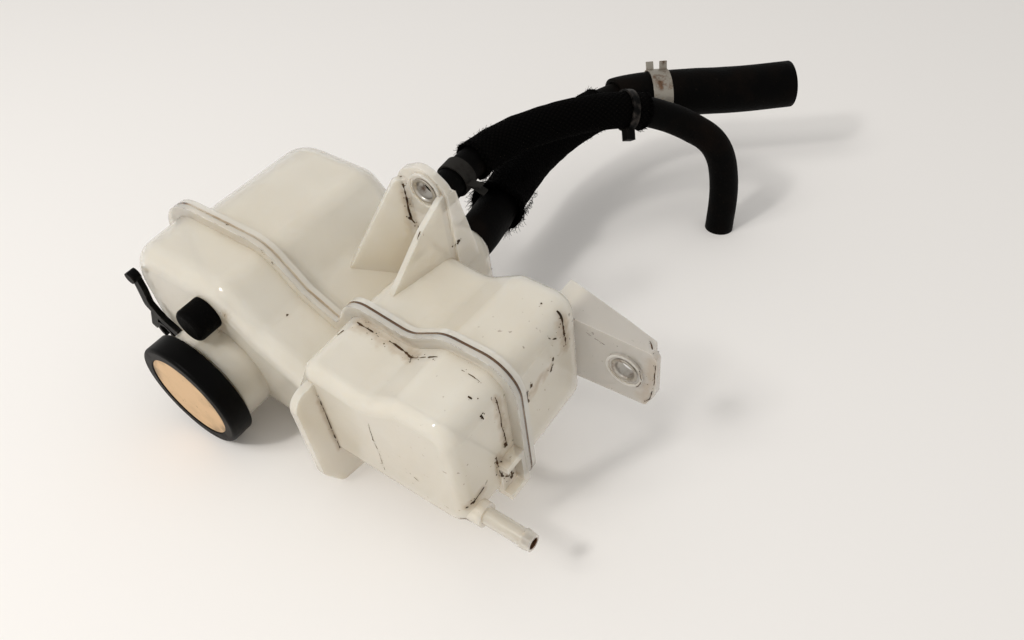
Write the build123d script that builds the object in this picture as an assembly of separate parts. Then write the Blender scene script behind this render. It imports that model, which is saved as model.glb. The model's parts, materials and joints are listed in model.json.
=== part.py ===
from build123d import *
import os
from math import cos, radians, sin, tan

# Coolant expansion tank: two welded half shells, a screw cap with its pressure valves, hoses and clamps.
# The tank is drawn in its own frame: X along the tank, Y through its two halves (filler cap at -Y), Z up.
# It is then tipped by TILT about X, which is how it lies on its cap rim, foot fin and vent hose.
# All sizes are in millimetres and degrees.

TILT = 9.5

# Half shells: corners (x, z, radius) of the seam outline and of the two lobes behind it
WALL = 2.5
DRAFT = 1.5
SEAM = [(-56.6, 17, 18), (-56.6, 95.5, 23.5), (14.4, 95.5, 16), (33, 76, 20), (57.7, 63.2, 9), (70.5, 86.8, 10),
        (103, 82.5, 20), (124, 95, 14), (153.5, 94.5, 12), (153.5, 23.5, 12), (78, 23.5, 16), (64, 17, 16)]
LEFT_FRONT_LOBE = [(-58, 17, 20), (-58, 95.5, 26), (14.4, 95.5, 16), (33, 76, 20), (72, 55, 16), (72, 17, 16)]
LEFT_REAR_LOBE = [(-55, 17, 20), (-55, 95.5, 34), (14.4, 95.5, 16), (33, 76, 20), (72, 55, 16), (72, 17, 16)]
RIGHT_LOBE = [(56, 23.5, 12), (56, 60.4, 12), (70.5, 86.8, 10), (103, 82.5, 20), (124, 95, 14),
              (153.5, 94.5, 12), (153.5, 23.5, 12)]
LEFT_FRONT_DEPTH = 33
LEFT_FRONT_EDGE = 11
RIGHT_FRONT_DEPTH = 37.5
RIGHT_FRONT_EDGE = 7
LEFT_REAR_DEPTH = 76
LEFT_REAR_EDGE = 12
RIGHT_REAR_DEPTH = 52
RIGHT_REAR_EDGE = 7
CAVITY_CHAMFER_SHARE = 2 - 2 ** 0.5  # cavity chamfer that keeps the wall under a rounded outside edge

# Outlet boss behind the ear
BOSS = [(42, 26, 12), (42, 80.5, 12), (88, 80.5, 14), (88, 26, 12)]
BOSS_FRONT = 50.5
BOSS_EDGE = 9

# Welded seam flange with the open groove round its rim
FLANGE_WIDTH = 5.5
FLANGE_THICK = 3.2
WELD_WIDTH = 3.0
GROOVE_HALF = 0.4

# Filler neck and screw cap; fronts and backs are Y positions
NECK_X = 0
NECK_Z = 40.4
NECK_ROOT_R = 26
NECK_ROOT_FRONT = -47
NECK_ROOT_BACK = -20
NECK_BARREL_R = 22.6
NECK_FRONT = -54
NECK_BORE_R = 17
CAP_R = 30
CAP_FRONT = -60.4
CAP_BACK = -48.7
CAP_EDGE = 2.0
CAP_PLATE = 3.2
CAP_GRIP_WALL = 2.6
CAP_SLEEVE_R = 23.3
CAP_SLEEVE_WALL = 2.0
LABEL_R = 23.5
LABEL_THICK = 0.6
LABEL_DEPTH = 1.2
LABEL_FIT = 0.15

# Valve cartridge that hangs in the cap: cup, head, seals, pressure valve and vacuum valve
RUN_GAP = 0.3
GASKET_THICK = 1.0
GASKET_BORE_R = 17.4
HEAD_R = 20
CUP_R = 15.8
CUP_BACK = -36
CUP_BORE_R = 12
SEAT_THICK = 2
SEAT_HOLE_R = 8.5
ORING_WIRE_R = 1.2
ORING_R = 15.4
ORING_Y = -46
ORING_SIDES = 8
ORING_GROOVE_R = 14
ORING_GROOVE_WIDTH = 2.8
PLATE_R = 11.2
PLATE_THICK = 2.0
SEAL_R = 11
SEAL_BORE_R = 8.8
SEAL_THICK = 1.0
STEM_R = 1.6
STEM_HOLE_R = 2.0
STEM_LENGTH = 5.5
DISC_R = 5.0
DISC_THICK = 1.4
STEM_HEAD_R = 3.4
STEM_HEAD_THICK = 1.0
SPRING_R = 8.6
SPRING_WIRE_R = 0.8
SPRING_TURNS = 3
STEM_SPRING_R = 2.5
STEM_SPRING_WIRE_R = 0.3
STEM_SPRING_TURNS = 3
SPRING_SEAT_GAP = 0.05

# Blanked vent nipple on the front wall
NIPPLE_X = 3
NIPPLE_Z = 78
NIPPLE_R = 5
NIPPLE_BORE_R = 2.6
NIPPLE_FRONT = -42.5
BLANK_R = 8.7
BLANK_FRONT = -45.6
BLANK_EDGE = 2.5
BLANK_FIT = 0.1

# Hose clip on the front wall: strip outline (x, z, radius), knob, side arm and open ring
CLIP_STRIP = [(-55, 77, 1), (-50, 77, 1), (-50, 66, 3), (-52, 55, 3), (-46.5, 47, 3), (-37, 41.5, 1),
              (-39, 37, 1), (-49, 42.5, 3), (-57.5, 52, 4), (-55.5, 66, 4)]
CLIP_THICK = 3
CLIP_KNOB = (-52.5, 75)
CLIP_KNOB_R = 3.2
CLIP_KNOB_HEIGHT = 5
CLIP_ARM = [(-55, 48, 0), (-51, 45, 0), (-58.5, 33, 1), (-62, 35, 1)]
CLIP_RING = (-50.5, 35.5)
CLIP_RING_R = 6
CLIP_RING_BORE_R = 4
CLIP_MOUTH = 5

# Small hose barb on the right wall
BARB_Y = -30
BARB_Z = 33
BARB_R = 4
BARB_BEAD_R = 4.6
BARB_BEAD_LENGTH = 5
BARB_BORE_R = 2.6
BARB_ROOT = 149
BARB_END = 181
BARB_COLLAR_R = 5.8
BARB_COLLAR_END = 157

# Foot fin below the step between the lobes, and the slotted lug by the seam
FIN_X = 72
FIN_THICK = 4
FIN_FRONT = -50.3
FIN_SOLE_FRONT = -42
FIN_BACK = -22
FIN_TOP = 77
FIN_ROUND = 8
FIN_SOLE_ROUND = 6
FIN_TOE_RISE = 14
LUG_REACH = 5.3
LUG_FRONT = -15
LUG_BACK = -2
LUG_BOTTOM = 26
LUG_TOP = 50
LUG_ARM = 3.5
LUG_SLOT_DEPTH = 4.3

# Mounting ear and tab with their steel bushes: outlines (x, z, radius), edge rib (y, z, radius);
# each gusset's outline is (y, z, radius) from the ear's front face, and stands at an x with a turn about Z
EAR = [(53, 60, 0), (53, 112, 5), (60, 124, 8), (73, 130.5, 11), (86, 121, 9), (86, 60, 0)]
EAR_FRONT = 51.5
EAR_THICK = 4
EAR_BUSH = (73.5, 117.5)
LEFT_GUSSET = [(2, 56, 0), (2, 120, 0), (-5, 119.5, 3), (-38, 68, 0), (-38, 56, 0)]
LEFT_GUSSET_X = 61
LEFT_GUSSET_TURN = -45
RIGHT_GUSSET = [(2, 66, 0), (2, 118.5, 0), (-1, 118.5, 1), (-15.5, 108, 6), (-40, 83, 0), (-40, 66, 0)]
RIGHT_GUSSET_X = 82.8
RIGHT_GUSSET_TURN = -8.8
EDGE_RIB = [(53, 66, 0), (53, 119, 0), (57, 119, 2), (65, 78, 3), (65, 66, 0)]
EDGE_RIB_X = 83
RIB_THICK = 3
TAB = [(138, 77.5, 0), (189, 77.5, 3), (191.5, 74, 3), (191.4, 51, 3), (186.5, 40.7, 3), (148, 38, 0),
       (138, 38, 0)]
TAB_FRONT = 50
TAB_THICK = 4
TAB_BUSH = (176.5, 60)
TAB_SHELF = [(136, 50.5, 0), (189, 50.5, 2), (189, 57, 3), (170, 62, 10), (136, 70, 0)]
TAB_SHELF_TOP = 77.5
TAB_SHELF_THICK = 3
PAD_R = 9.2
PAD_RECESS_R = 8.0
PAD_PROUD = 1.6
BUSH_FLANGE_R = 6.6
BUSH_FLANGE_THICK = 0.8
BUSH_BARREL_R = 5.8
BUSH_BORE_R = 4.5  # clearance for an M8 bolt
BUSH_MOUTH = 0.8
BUSH_FIT = 0.1

# Outlet and vent spigots on the rear wall
SPIGOT_ROOT = 68
SPIGOT_COLLAR = 79
OUTLET_X = 48
OUTLET_Z = 34
OUTLET_R = 8
OUTLET_BORE_R = 6
OUTLET_COLLAR_R = 11
OUTLET_END = 92
VENT_X = 30
VENT_Z = 61
VENT_R = 5.2
VENT_BORE_R = 3.6
VENT_COLLAR_R = 7.5
VENT_END = 92
HOSE_FIT = 0.2

# Hoses: radii, the Y at which each leaves its spigot's line, and the rest of its route
# in the tipped tank's X and Y with heights above the floor: bare, under its woven sleeve, and beyond it
OUTLET_HOSE_R = 12
VENT_HOSE_R = 9
END_HOSE_R = 15.3
END_HOSE_BORE_R = OUTLET_HOSE_R + 0.3
OUTLET_RUN_END = 100
VENT_RUN_END = 104
OUTLET_BARE = [(42.1, 117.5, 50.4)]
OUTLET_SLEEVED = [(35.1, 139.5, 50.9), (28.6, 162, 51.4), (23.6, 185, 52.4), (22.6, 208, 54.9),
                  (25.1, 231, 57.9), (30.6, 252.5, 61.4)]
OUTLET_TAIL = [(40.6, 272, 64), (56.2, 287.5, 64.4)]
END_HOSE_GAP = 0.8  # between the sleeve and the end hose, which covers the tail of the outlet hose
END_HOSE_STRAIGHT = 42
END_TAIL = [(96.1, 327.5, 63.6), (119.1, 350.5, 65.4)]
VENT_BARE = [(28.3, 117.5, 81.5)]
VENT_SLEEVED = [(30.8, 140.8, 85), (39.8, 161.3, 88), (52.8, 182.3, 90.5), (66.3, 203.3, 90), (77.8, 221.3, 86)]
VENT_TAIL = [(90.1, 235.5, 79), (100.8, 244.3, 72), (110.8, 251.8, 64.5), (117.3, 255.8, 53.5),
             (121.1, 257.8, 38.5), (123.1, 258.6, 19.5), (123.1, 258.6, 0)]
ARC_SHARE = 0.45  # share of the shorter run that a bend takes up
TUBE_SIDES = 12  # flats round a hose or sleeve, which stays plain here
SLEEVE_GAP = 0.3
SLEEVE_WALL = 1.4

# Spring clamps and the cable tie
CLAMP_GAP = 0.2
CLAMP_THICK = 1.0
CLAMP_WIDTH = 9
TANG_REACH = 9
TANG_WIDTH = 5
TANG_SPREAD = 14
BAND_WIDTH = 13
BAND_TANG_REACH = 6
BAND_TANG_SPREAD = 6
OUTLET_CLAMP_Y = 86
BAND_CLAMP_REACH = 19  # along the outlet hose's last run
OUTLET_TANGS = (1, 0, 0.2)
VENT_TANGS = (1, -0.2, -0.2)
BAND_TANGS = (-0.4, 0.2, 1)
TIE_THICK = 1.3
TIE_WIDTH = 4.6
TIE_HEAD = (7, 6, 5.5)
TIE_HEAD_SIDE = (0.4, -0.5, -0.8)


def outline(corners, grow=0.0):
    """Flat face with rounded corners (u, v, radius), grown outwards."""
    points = [(u, v) for u, v, r in corners]
    radii = [r for u, v, r in corners]
    face = make_face(FilletPolyline(*points, radius=radii, close=True).edges())
    if grow:
        face = offset(face, amount=grow, kind=Kind.ARC)
    return face


def plate_x(corners, start, thick):
    return extrude(Pos(start, 0, 0) * (Plane.YZ * outline(corners)), amount=thick, dir=(1, 0, 0))


def plate_y(corners, start, end, grow=0.0):
    return extrude(Pos(0, start, 0) * (Plane.XZ * outline(corners, grow)), amount=end - start, dir=(0, 1, 0))


def plate_z(corners, top, thick):
    return extrude(Pos(0, 0, top) * outline(corners), amount=thick, dir=(0, 0, -1))


def rod_x(y, z, start, end, radius):
    return Pos((start + end) / 2, y, z) * Rot(0, 90, 0) * Cylinder(radius, end - start)


def rod_y(x, z, start, end, radius):
    return Pos(x, (start + end) / 2, z) * Rot(90, 0, 0) * Cylinder(radius, end - start)


def ring_y(x, z, start, end, radius, bore):
    return rod_y(x, z, start, end, radius) - rod_y(x, z, start, end, bore)


def lobe(corners, depth, side, grow=0.0, start=0.0):
    """Drafted block from the seam plane (side -1 to the front, 1 to the rear), and its far edges."""
    face = Pos(0, side * start, 0) * (Plane.XZ * outline(corners, grow))
    block = extrude(face, amount=depth - start, dir=(0, side, 0), taper=DRAFT)
    far_face = block.faces().sort_by(Axis.Y)[-1 if side > 0 else 0]
    return far_face.edges()


def lobe_pair(sizes, side):
    """Outside and cavity of one half: sizes are (corners, depth, edge, start) of each of its lobes."""
    outside = None
    cavity = None
    for corners, depth, edge, start in sizes:
        outer = fillet(lobe(corners, depth, side, 0.0, start), edge)
        inner_start = start + WALL if start else start
        cavity_chamfer = CAVITY_CHAMFER_SHARE * (edge - WALL)
        inner = chamfer(lobe(corners, depth - WALL, side, -WALL, inner_start), cavity_chamfer)
        outside = outer if outside is None else outside + outer
        cavity = inner if cavity is None else cavity + inner
    return outside, cavity


def seam_flange(side):
    """Flange of one half: the inner part is welded face to face, the rim stands back to leave a groove."""
    weld = plate_y(SEAM, min(0, side * FLANGE_THICK), max(0, side * FLANGE_THICK), WELD_WIDTH)
    low, high = sorted((side * GROOVE_HALF, side * FLANGE_THICK))
    return weld + plate_y(SEAM, low, high, FLANGE_WIDTH)


def floor_height(y):
    """Height, in the tank's frame, of the floor below y once the tank lies on its cap rim."""
    rim_y = CAP_FRONT + CAP_EDGE
    rim_z = NECK_Z - CAP_R + CAP_EDGE
    floor = rim_y * sin(radians(TILT)) + rim_z * cos(radians(TILT)) - CAP_EDGE
    return (floor - y * sin(radians(TILT))) / cos(radians(TILT))


def foot_fin():
    sole_front = (FIN_SOLE_FRONT, floor_height(FIN_SOLE_FRONT), FIN_SOLE_ROUND)
    sole_back = (FIN_BACK, floor_height(FIN_BACK), 0)
    toe = (FIN_FRONT, floor_height(FIN_FRONT) + FIN_TOE_RISE, FIN_ROUND)
    corners = [sole_back, sole_front, toe, (FIN_FRONT, FIN_TOP, FIN_ROUND), (FIN_BACK, FIN_TOP, 0)]
    return plate_x(corners, FIN_X, FIN_THICK)


def slotted_lug():
    """Block on the right wall with a slot that is open to the side and to the front."""
    wall_x = max(x for x, z, r in RIGHT_LOBE)
    end_x = wall_x + LUG_REACH
    middle_y = (LUG_FRONT + LUG_BACK) / 2
    middle_z = (LUG_BOTTOM + LUG_TOP) / 2
    block = Box(WALL + LUG_REACH, LUG_BACK - LUG_FRONT, LUG_TOP - LUG_BOTTOM)
    block = Pos(end_x - (WALL + LUG_REACH) / 2, middle_y, middle_z) * block
    slot = Box(LUG_SLOT_DEPTH, LUG_BACK - LUG_FRONT, LUG_TOP - LUG_BOTTOM - 2 * LUG_ARM)
    return block - Pos(end_x - LUG_SLOT_DEPTH / 2, middle_y - LUG_ARM, middle_z) * slot


def upper_shell():
    """Half with the filler neck, the blanked nipple, the barb and the foot fin."""
    sizes = [(LEFT_FRONT_LOBE, LEFT_FRONT_DEPTH, LEFT_FRONT_EDGE, 0),
             (RIGHT_LOBE, RIGHT_FRONT_DEPTH, RIGHT_FRONT_EDGE, 0)]
    shell, cavity = lobe_pair(sizes, -1)
    shell += seam_flange(-1)
    shell += rod_y(NECK_X, NECK_Z, NECK_ROOT_FRONT, NECK_ROOT_BACK, NECK_ROOT_R)
    shell += rod_y(NECK_X, NECK_Z, NECK_FRONT, NECK_ROOT_BACK, NECK_BARREL_R)
    shell += rod_y(NIPPLE_X, NIPPLE_Z, NIPPLE_FRONT, -LEFT_FRONT_DEPTH + WALL, NIPPLE_R)
    shell += rod_x(BARB_Y, BARB_Z, BARB_ROOT, BARB_COLLAR_END, BARB_COLLAR_R)
    shell += rod_x(BARB_Y, BARB_Z, BARB_ROOT, BARB_END, BARB_R)
    bead = Cone(BARB_BEAD_R, BARB_R, BARB_BEAD_LENGTH)
    shell += Pos(BARB_END - BARB_BEAD_LENGTH / 2, BARB_Y, BARB_Z) * Rot(0, 90, 0) * bead
    shell += foot_fin()
    shell += slotted_lug()
    shell -= cavity
    shell -= rod_y(NECK_X, NECK_Z, NECK_FRONT, NECK_ROOT_BACK, NECK_BORE_R)
    shell -= rod_y(NIPPLE_X, NIPPLE_Z, NIPPLE_FRONT, -LEFT_FRONT_DEPTH + 2 * WALL, NIPPLE_BORE_R)
    shell -= rod_x(BARB_Y, BARB_Z, BARB_ROOT - WALL, BARB_END, BARB_BORE_R)
    return shell


def bush_pad(place, front, thick):
    """Moulded pad round a bush, and the hole and recess that the bush sits in."""
    x, z = place
    pad = rod_y(x, z, front - PAD_PROUD, front + thick, PAD_R)
    hole = rod_y(x, z, front - PAD_PROUD, front + thick, BUSH_BARREL_R + BUSH_FIT)
    recess = rod_y(x, z, front - PAD_PROUD, front - PAD_PROUD + BUSH_FLANGE_THICK, PAD_RECESS_R)
    return pad, hole + recess


def bush(place, front, thick):
    """Steel compression bush with a flange at the front and a chamfered mouth."""
    x, z = place
    start = front - PAD_PROUD
    body = rod_y(x, z, start, start + BUSH_FLANGE_THICK, BUSH_FLANGE_R)
    body += rod_y(x, z, start, front + thick, BUSH_BARREL_R)
    body -= rod_y(x, z, start, front + thick, BUSH_BORE_R)
    rims = body.edges().filter_by(GeomType.CIRCLE).sort_by(Axis.Y)
    mouth = [rim for rim in rims if rim.radius < (BUSH_BORE_R + BUSH_BARREL_R) / 2][0]
    return chamfer(mouth, BUSH_MOUTH)


def gusset(corners, x, turn):
    """Upright plate that braces the ear against the top of the tank."""
    return Pos(x, EAR_FRONT, 0) * Rot(0, 0, turn) * plate_x(corners, -RIB_THICK / 2, RIB_THICK)


def lower_shell():
    """Half with the deep lobe, the mounting ear and tab, and the two hose spigots."""
    sizes = [(LEFT_REAR_LOBE, LEFT_REAR_DEPTH, LEFT_REAR_EDGE, 0),
             (RIGHT_LOBE, RIGHT_REAR_DEPTH, RIGHT_REAR_EDGE, 0),
             (BOSS, LEFT_REAR_DEPTH, BOSS_EDGE, BOSS_FRONT)]
    shell, cavity = lobe_pair(sizes, 1)
    shell += seam_flange(1)
    shell += plate_y(EAR, EAR_FRONT, EAR_FRONT + EAR_THICK)
    shell += gusset(LEFT_GUSSET, LEFT_GUSSET_X, LEFT_GUSSET_TURN)
    shell += gusset(RIGHT_GUSSET, RIGHT_GUSSET_X, RIGHT_GUSSET_TURN)
    shell += plate_x(EDGE_RIB, EDGE_RIB_X, RIB_THICK)
    shell += plate_y(TAB, TAB_FRONT, TAB_FRONT + TAB_THICK)
    shell += plate_z(TAB_SHELF, TAB_SHELF_TOP, TAB_SHELF_THICK)
    ear_pad, ear_hole = bush_pad(EAR_BUSH, EAR_FRONT, EAR_THICK)
    tab_pad, tab_hole = bush_pad(TAB_BUSH, TAB_FRONT, TAB_THICK)
    shell += ear_pad + tab_pad
    shell += rod_y(OUTLET_X, OUTLET_Z, SPIGOT_ROOT, SPIGOT_COLLAR, OUTLET_COLLAR_R)
    shell += rod_y(OUTLET_X, OUTLET_Z, SPIGOT_ROOT, OUTLET_END, OUTLET_R)
    shell += rod_y(VENT_X, VENT_Z, SPIGOT_ROOT, SPIGOT_COLLAR, VENT_COLLAR_R)
    shell += rod_y(VENT_X, VENT_Z, SPIGOT_ROOT, VENT_END, VENT_R)
    shell -= cavity
    shell -= ear_hole + tab_hole
    shell -= rod_y(OUTLET_X, OUTLET_Z, SPIGOT_ROOT - WALL, OUTLET_END, OUTLET_BORE_R)
    shell -= rod_y(VENT_X, VENT_Z, SPIGOT_ROOT - 2 * WALL, VENT_END, VENT_BORE_R)
    return shell


def cap_shell():
    """Screw cap: front plate with a label recess, outer grip wall and inner thread sleeve."""
    body = rod_y(NECK_X, NECK_Z, CAP_FRONT, CAP_BACK, CAP_R)
    front_edge = body.edges().filter_by(GeomType.CIRCLE).sort_by(Axis.Y)[0]
    body = fillet(front_edge, CAP_EDGE)
    inside = CAP_FRONT + CAP_PLATE
    body -= rod_y(NECK_X, NECK_Z, inside, CAP_BACK, CAP_R - CAP_GRIP_WALL)
    body += ring_y(NECK_X, NECK_Z, inside, CAP_BACK, CAP_SLEEVE_R + CAP_SLEEVE_WALL, CAP_SLEEVE_R)
    return body - rod_y(NECK_X, NECK_Z, CAP_FRONT, CAP_FRONT + LABEL_DEPTH, LABEL_R + LABEL_FIT)


def cap_label_disc():
    back = CAP_FRONT + LABEL_DEPTH
    return rod_y(NECK_X, NECK_Z, back - LABEL_THICK, back, LABEL_R)


HEAD_BACK = NECK_FRONT - GASKET_THICK
HEAD_FRONT = CAP_FRONT + CAP_PLATE + RUN_GAP
SEAT_Y = CUP_BACK - SEAT_THICK
PLATE_BACK = SEAT_Y - SEAL_THICK
PLATE_FRONT = PLATE_BACK - PLATE_THICK
STEM_FRONT = PLATE_BACK - STEM_LENGTH


def cartridge_cup():
    """Cup that plugs the neck, with the valve seat as its floor and a groove for the O-ring."""
    cup = rod_y(NECK_X, NECK_Z, HEAD_BACK, CUP_BACK, CUP_R)
    cup -= rod_y(NECK_X, NECK_Z, HEAD_BACK, SEAT_Y, CUP_BORE_R)
    cup -= rod_y(NECK_X, NECK_Z, SEAT_Y, CUP_BACK, SEAT_HOLE_R)
    half = ORING_GROOVE_WIDTH / 2
    return cup - ring_y(NECK_X, NECK_Z, ORING_Y - half, ORING_Y + half, CUP_R, ORING_GROOVE_R)


def cartridge_oring():
    section = Pos(ORING_R, 0, 0) * (Plane.XZ * RegularPolygon(ORING_WIRE_R, ORING_SIDES))
    return Pos(NECK_X, ORING_Y, NECK_Z) * Rot(90, 0, 0) * revolve(section, Axis.Z)


def pressure_plate():
    plate = rod_y(NECK_X, NECK_Z, PLATE_FRONT, PLATE_BACK, PLATE_R)
    return plate - rod_y(NECK_X, NECK_Z, PLATE_FRONT, PLATE_BACK, STEM_HOLE_R)


def vacuum_valve():
    """Mushroom valve: disc below the plate, stem through it and a head that its spring lifts."""
    valve = rod_y(NECK_X, NECK_Z, PLATE_BACK, PLATE_BACK + DISC_THICK, DISC_R)
    valve += rod_y(NECK_X, NECK_Z, STEM_FRONT, PLATE_BACK, STEM_R)
    return valve + rod_y(NECK_X, NECK_Z, STEM_FRONT - STEM_HEAD_THICK, STEM_FRONT, STEM_HEAD_R)


def coil_spring(front, back, radius, wire, turns):
    """Open coil of square wire between two seats on the neck axis."""
    start = front + wire + SPRING_SEAT_GAP
    height = back - front - 2 * (wire + SPRING_SEAT_GAP)
    path = Helix(pitch=height / turns, height=height, radius=radius)
    section = Plane(origin=path @ 0, z_dir=path % 0, x_dir=(1, 0, 0)) * Rectangle(2 * wire, 2 * wire)
    coil = sweep(section, path=path, is_frenet=True)
    return Pos(NECK_X, start, NECK_Z) * Rot(-90, 0, 0) * coil


def blanking_cap():
    back = -LEFT_FRONT_DEPTH
    body = rod_y(NIPPLE_X, NIPPLE_Z, BLANK_FRONT, back, BLANK_R)
    front_edge = body.edges().filter_by(GeomType.CIRCLE).sort_by(Axis.Y)[0]
    body = fillet(front_edge, BLANK_EDGE)
    return body - rod_y(NIPPLE_X, NIPPLE_Z, NIPPLE_FRONT - BLANK_FIT, back, NIPPLE_R + BLANK_FIT)


def hose_clip():
    """Flat clip against the front wall, with a knob and an open ring for a small hose."""
    back = -LEFT_FRONT_DEPTH
    front = back - CLIP_THICK
    ring_x, ring_z = CLIP_RING
    ring = ring_y(ring_x, ring_z, front, back, CLIP_RING_R, CLIP_RING_BORE_R)
    ring -= Pos(ring_x, (front + back) / 2, ring_z - CLIP_RING_R) * Box(CLIP_MOUTH, CLIP_THICK, CLIP_RING_R)
    clip = plate_y(CLIP_STRIP, front, back) + plate_y(CLIP_ARM, front, back) + ring
    return clip + rod_y(*CLIP_KNOB, back - CLIP_KNOB_HEIGHT, back, CLIP_KNOB_R)


def bend_radii(route):
    """Largest tangent arc at each inner point that leaves a short straight between neighbouring bends."""
    radii = []
    for before, point, after in zip(route, route[1:], route[2:]):
        run_in = Vector(point) - Vector(before)
        run_out = Vector(after) - Vector(point)
        turn = radians(run_in.get_angle(run_out))
        radii.append(ARC_SHARE * min(run_in.length, run_out.length) / tan(turn / 2))
    return radii


def tube(name, route, radii, radius, bore):
    """Hollow hose or sleeve along straight runs joined by tangent arcs."""
    path = FilletPolyline(*route, radius=radii)
    section_plane = Plane(origin=path @ 0, z_dir=path % 0)
    hole = RegularPolygon(bore, TUBE_SIDES, major_radius=False)
    section = section_plane * (RegularPolygon(radius, TUBE_SIDES) - hole)
    solid = sweep(section, path=path)
    print(name, "length %.1f" % path.length, "tightest bend %.0f" % min(radii))
    return solid


def middle(first, second):
    return tuple((Vector(first) + Vector(second)) * 0.5)


def along(start, end, reach):
    """Point that lies reach from start on the way to end."""
    return tuple(Vector(start) + (Vector(end) - Vector(start)).normalized() * reach)


def sleeve(name, bare, sleeved, tail, hose_radii, hose_radius):
    """Woven sleeve from the middle of the run before its points to the middle of the run after them."""
    route = [middle(bare[-1], sleeved[0])] + sleeved + [middle(sleeved[-1], tail[0])]
    first = 1 + len(bare)
    bore = hose_radius + SLEEVE_GAP
    return tube(name, route, hose_radii[first:first + len(sleeved)], bore + SLEEVE_WALL, bore)


def spring_clamp(centre, line, towards, hose_radius, width, tang_reach, tang_spread):
    """Spring band round a hose at centre, with two tangs that stand out in the direction towards."""
    frame = Plane(origin=centre, z_dir=line, x_dir=towards)
    bore = hose_radius + CLAMP_GAP
    band = Cylinder(bore + CLAMP_THICK, width) - Cylinder(bore, width)
    tang = Box(tang_reach, CLAMP_THICK, TANG_WIDTH)
    reach = bore + tang_reach / 2
    for side in (-1, 1):
        band += Rot(0, 0, side * tang_spread) * Pos(reach, 0, side * (width - TANG_WIDTH) / 2) * tang
    band -= Cylinder(bore, width)
    return frame * band


def cable_tie(centre, line, towards, hose_radius):
    """Strap round the sleeved vent hose with its square head below."""
    frame = Plane(origin=centre, z_dir=line, x_dir=towards)
    bore = hose_radius + CLAMP_GAP
    strap = Cylinder(bore + TIE_THICK, TIE_WIDTH) - Cylinder(bore, TIE_WIDTH)
    head = Pos(bore + TIE_HEAD[0] / 2, 0, 0) * Box(*TIE_HEAD)
    return frame * (strap + head - Cylinder(bore, TIE_WIDTH))


def tipped(solid):
    return Rot(TILT, 0, 0) * solid


tank = {
    "upper_shell": upper_shell(),
    "lower_shell": lower_shell(),
    "ear_bush": bush(EAR_BUSH, EAR_FRONT, EAR_THICK),
    "tab_bush": bush(TAB_BUSH, TAB_FRONT, TAB_THICK),
    "cap_shell": cap_shell(),
    "cap_label_disc": cap_label_disc(),
    "cartridge_head": rod_y(NECK_X, NECK_Z, HEAD_FRONT, HEAD_BACK, HEAD_R),
    "cartridge_cup": cartridge_cup(),
    "cartridge_oring": cartridge_oring(),
    "cap_gasket": ring_y(NECK_X, NECK_Z, HEAD_BACK, NECK_FRONT, HEAD_R, GASKET_BORE_R),
    "pressure_plate": pressure_plate(),
    "pressure_seal": ring_y(NECK_X, NECK_Z, PLATE_BACK, SEAT_Y, SEAL_R, SEAL_BORE_R),
    "pressure_spring": coil_spring(HEAD_BACK, PLATE_FRONT, SPRING_R, SPRING_WIRE_R, SPRING_TURNS),
    "vacuum_valve": vacuum_valve(),
    "vacuum_spring": coil_spring(STEM_FRONT, PLATE_FRONT, STEM_SPRING_R, STEM_SPRING_WIRE_R, STEM_SPRING_TURNS),
    "blanking_cap": blanking_cap(),
    "hose_clip": hose_clip(),
}
pieces = {name: tipped(solid) for name, solid in tank.items()}

# The origin is the middle of the tank's box, on the floor below it
boxes = [piece.bounding_box() for piece in pieces.values()]
low = [min(tuple(box.min)[axis] for box in boxes) for axis in range(3)]
high = [max(tuple(box.max)[axis] for box in boxes) for axis in range(3)]
origin = Vector((low[0] + high[0]) / 2, (low[1] + high[1]) / 2, low[2])
pieces = {name: Pos(-origin) * piece for name, piece in pieces.items()}


def resting_point(x, y, z):
    """Where a point of the tank's own frame lies in the resting frame."""
    return tuple(Vector(x, y, z).rotate(Axis.X, TILT) - origin)


def resting_route(route):
    """Route with its X and Y taken from the tipped tank's axes to the resting frame."""
    return [(x - origin.X, y - origin.Y, z) for x, y, z in route]


def spigot_route(x, z, run_end, route):
    """Route of a hose that starts at a spigot's collar and runs straight to run_end."""
    return [resting_point(x, SPIGOT_COLLAR + HOSE_FIT, z), resting_point(x, run_end, z)] + route


outlet_bare = resting_route(OUTLET_BARE)
outlet_sleeved = resting_route(OUTLET_SLEEVED)
outlet_tail = resting_route(OUTLET_TAIL)
outlet_route = spigot_route(OUTLET_X, OUTLET_Z, OUTLET_RUN_END, outlet_bare + outlet_sleeved + outlet_tail)
outlet_radii = bend_radii(outlet_route)
vent_bare = resting_route(VENT_BARE)
vent_sleeved = resting_route(VENT_SLEEVED)
vent_tail = resting_route(VENT_TAIL)
vent_route = spigot_route(VENT_X, VENT_Z, VENT_RUN_END, vent_bare + vent_sleeved + vent_tail)
vent_radii = bend_radii(vent_route)
tail_bend, tail_end = outlet_tail
end_start = along(middle(outlet_sleeved[-1], tail_bend), tail_bend, END_HOSE_GAP)
end_tail = [along(tail_bend, tail_end, END_HOSE_STRAIGHT)] + resting_route(END_TAIL)
end_route = [end_start, tail_bend] + end_tail
end_radii = [outlet_radii[-1]] + bend_radii([tail_bend] + end_tail)
sleeved_vent_r = VENT_HOSE_R + SLEEVE_GAP + SLEEVE_WALL
spigot_line = Vector(0, 1, 0).rotate(Axis.X, TILT)
vent_clamp_line = Vector(vent_bare[0]) - Vector(vent_route[1])
band_line = Vector(tail_end) - Vector(tail_bend)
tie_line = Vector(vent_sleeved[-1]) - Vector(vent_sleeved[-2])

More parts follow.
